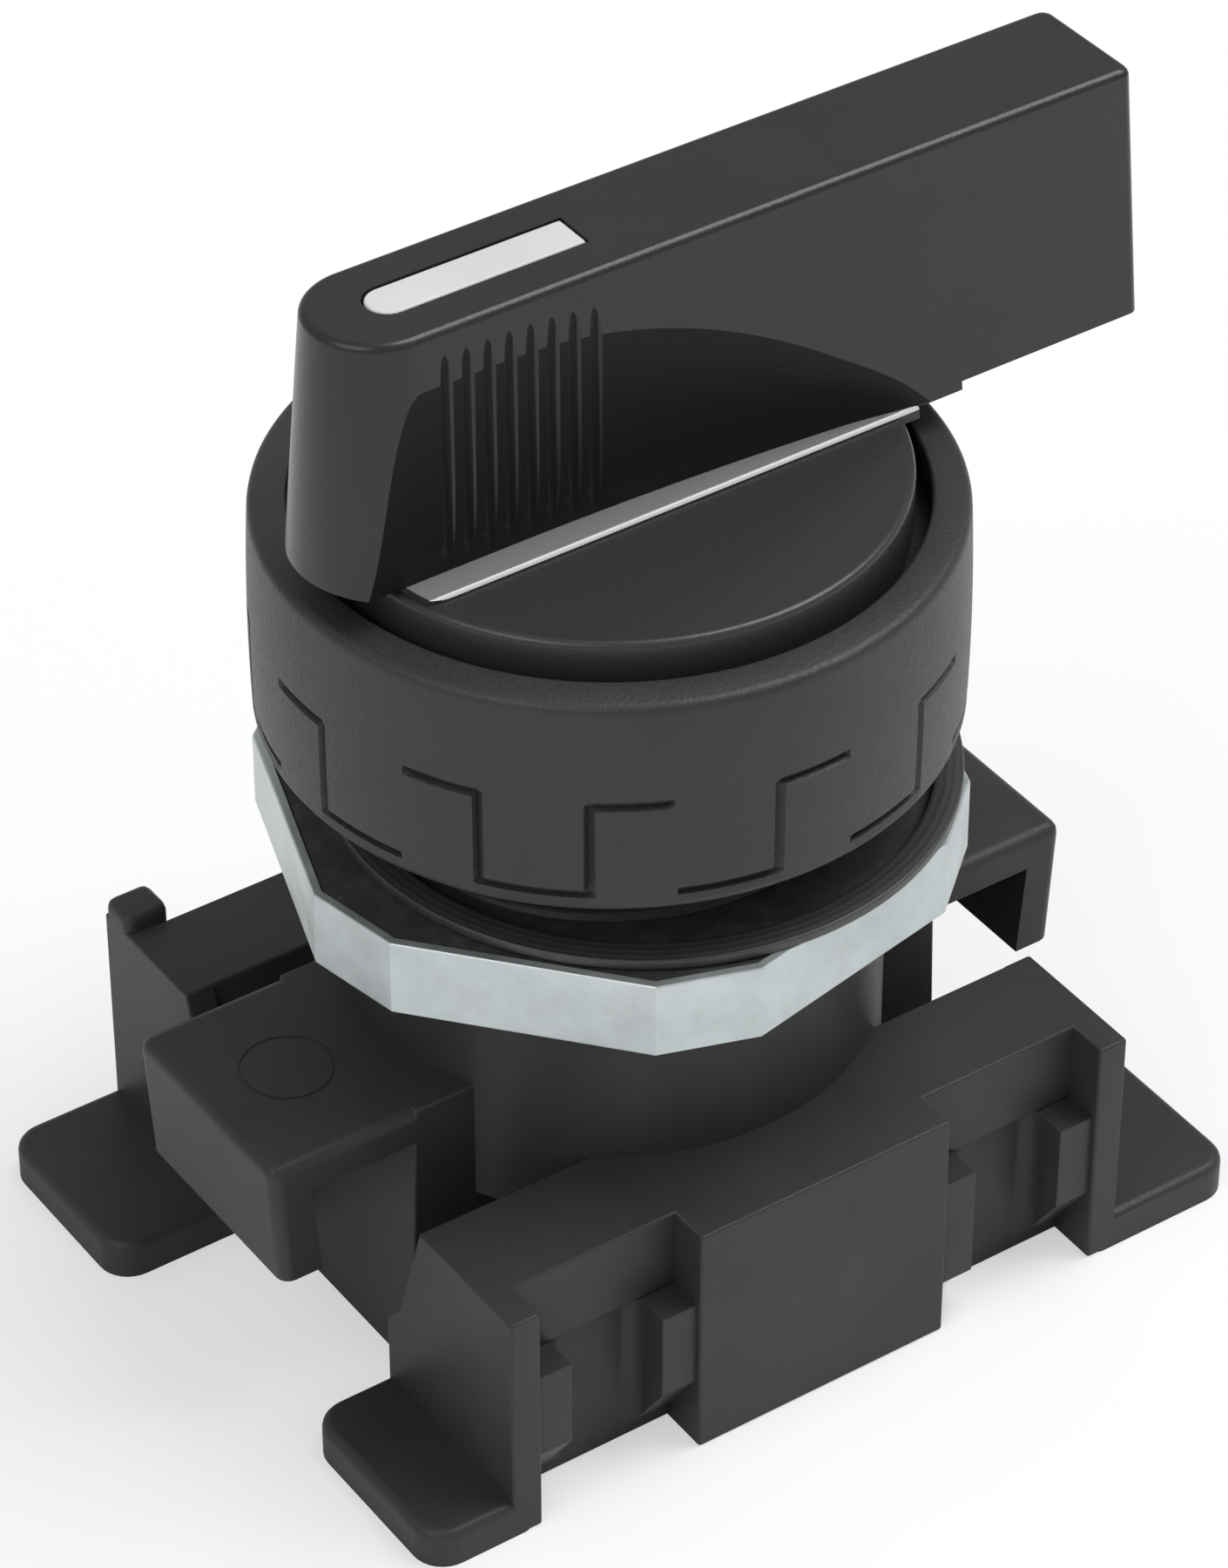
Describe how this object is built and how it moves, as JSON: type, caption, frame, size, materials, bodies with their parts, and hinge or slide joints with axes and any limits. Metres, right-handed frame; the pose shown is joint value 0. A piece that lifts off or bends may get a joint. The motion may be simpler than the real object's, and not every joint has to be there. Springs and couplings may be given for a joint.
{
  "type": "rotary lever switch",
  "caption": "Panel-mount rotary switch operator with a long lever on a round knob, castellated bezel, locking nut and a plastic contact block adapter below.",
  "frame": {"origin": "point where the knob's turning axis meets the plane of the bezel underside, which seats on the panel", "axes": "+Z along the turning axis towards the lever, +X from the pointer end of the lever to its tail at rest, +Y across"},
  "size_m": [0.0462, 0.0326, 0.0517],
  "materials": {
    "lever_plastic": "satin black moulding",
    "pointer_white": "light grey-white insert",
    "inner_plastic": "natural grey moulding",
    "plated_steel": "zinc plated",
    "seal_rubber": "black nitrile",
    "brass_pin": "turned",
    "spring_steel": "bright wire",
    "bezel_plastic": "fine grained black",
    "adapter_plastic": "satin black moulding",
    "gasket_rubber": "thin black seal ring",
    "zinc_nut": "bluish zinc plate",
    "pad_rubber": "black pad",
    "plunger_plastic": "red-brown moulding"
  },
  "bodies": {
    "base": {"bezel_housing": "bezel_plastic", "detent_ring": "inner_plastic", "plunger_guide": "inner_plastic", "adapter_body": "adapter_plastic"},
    "lever": {"lever_handle": "lever_plastic", "indicator_inlay": "pointer_white", "rotor": "inner_plastic", "hub_screw": "plated_steel", "hub_seal": "seal_rubber", "retaining_clip": "plated_steel", "detent_pin_front": "brass_pin", "detent_pin_rear": "brass_pin", "detent_spring_front": "spring_steel", "detent_spring_rear": "spring_steel"},
    "gasket": {"panel_gasket": "gasket_rubber"},
    "nut": {"locking_nut": "zinc_nut", "nut_pad": "pad_rubber"},
    "left_plunger": {"plunger_left": "plunger_plastic", "return_spring_left": "spring_steel"},
    "right_plunger": {"plunger_right": "plunger_plastic", "return_spring_right": "spring_steel"}
  },
  "joints": [
    {"name": "lever_turn", "type": "hinge", "parent": "base", "child": "lever", "pos_m": [0, 0, 0], "axis": [0, 0, 1], "range_deg": [0, 90]},
    {"name": "gasket_slide", "type": "slide", "parent": "base", "child": "gasket", "axis": [0, 0, 1], "range_m": [0, 0.0027]},
    {"name": "nut_turn", "type": "hinge", "parent": "gasket", "child": "nut", "pos_m": [0, 0, -0.0056], "axis": [0, 0, 1], "range_deg": [0, 648]},
    {"name": "left_plunger_slide", "type": "slide", "parent": "base", "child": "left_plunger", "axis": [0, 0, -1], "range_m": [0, 0.00239], "deforming": ["return_spring_left"]},
    {"name": "right_plunger_slide", "type": "slide", "parent": "base", "child": "right_plunger", "axis": [0, 0, 1], "range_m": [0, 0.0024], "deforming": ["return_spring_right"]}
  ],
  "couplings": [
    {"joint": "lever_turn", "follows": "left_plunger_slide", "rad_per_m": 657.39},
    {"joint": "right_plunger_slide", "follows": "left_plunger_slide", "ratio": 1},
    {"joint": "nut_turn", "follows": "gasket_slide", "rad_per_m": 4188.8}
  ]
}
